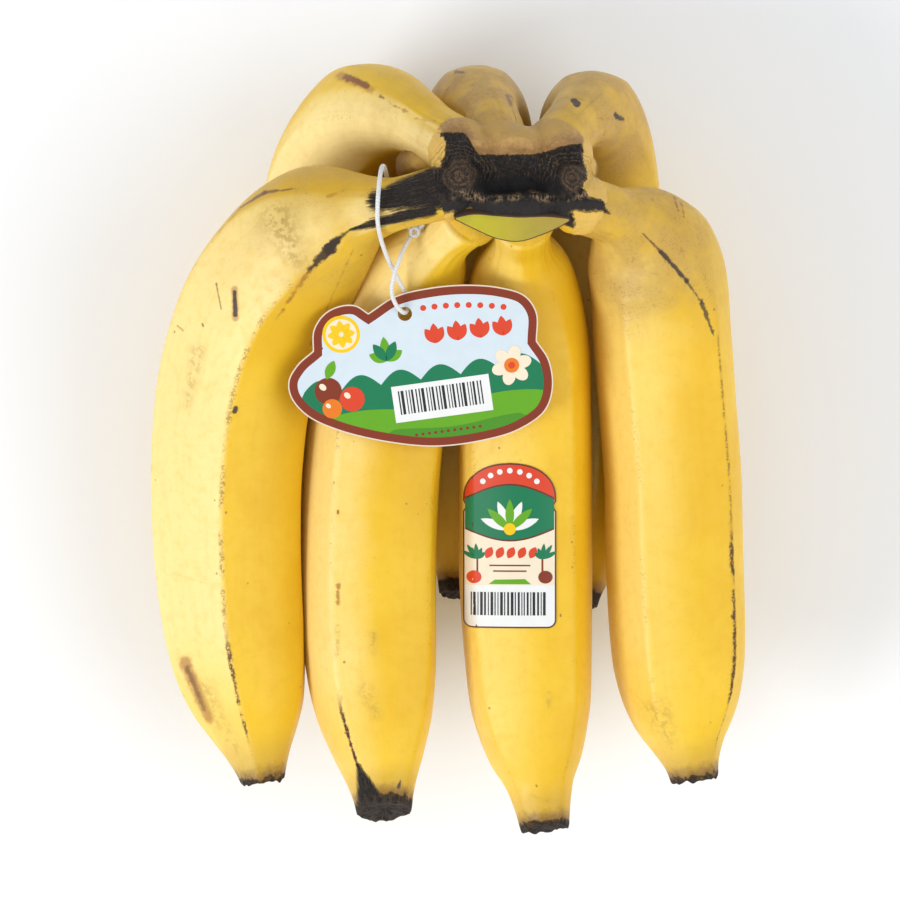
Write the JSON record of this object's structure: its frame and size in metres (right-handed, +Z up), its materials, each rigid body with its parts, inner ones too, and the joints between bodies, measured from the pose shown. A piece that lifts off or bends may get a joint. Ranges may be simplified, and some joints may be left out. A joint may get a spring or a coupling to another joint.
{
  "type": "hand of bananas",
  "caption": "Hand of small ripe dessert bananas in two rows on a dark dried crown, lying on its back, with a card hang tag on an elastic string and a paper label.",
  "frame": {"origin": "on the surface that the hand lies on, under the middle of its bounding box", "axes": "+Y from the finger tips towards the crown, +Z up from the surface, +X to the right seen from above with the crown away from the viewer"},
  "size_m": [0.1594, 0.2066, 0.0972],
  "materials": {
    "peel": "satin",
    "dry_crown": "rough",
    "tag_card": "satin",
    "label_paper": "satin",
    "elastic": "matte"
  },
  "bodies": {
    "root": {"crown": "dry_crown", "banana_front_1": "peel", "banana_front_2": "peel", "banana_front_3": "peel", "banana_front_4": "peel", "banana_back_1": "peel", "banana_back_2": "peel", "banana_back_3": "peel", "hang_tag": "tag_card", "fruit_label": "label_paper", "tag_string": "elastic", "string_knot": "elastic"}
  },
  "joints": []
}
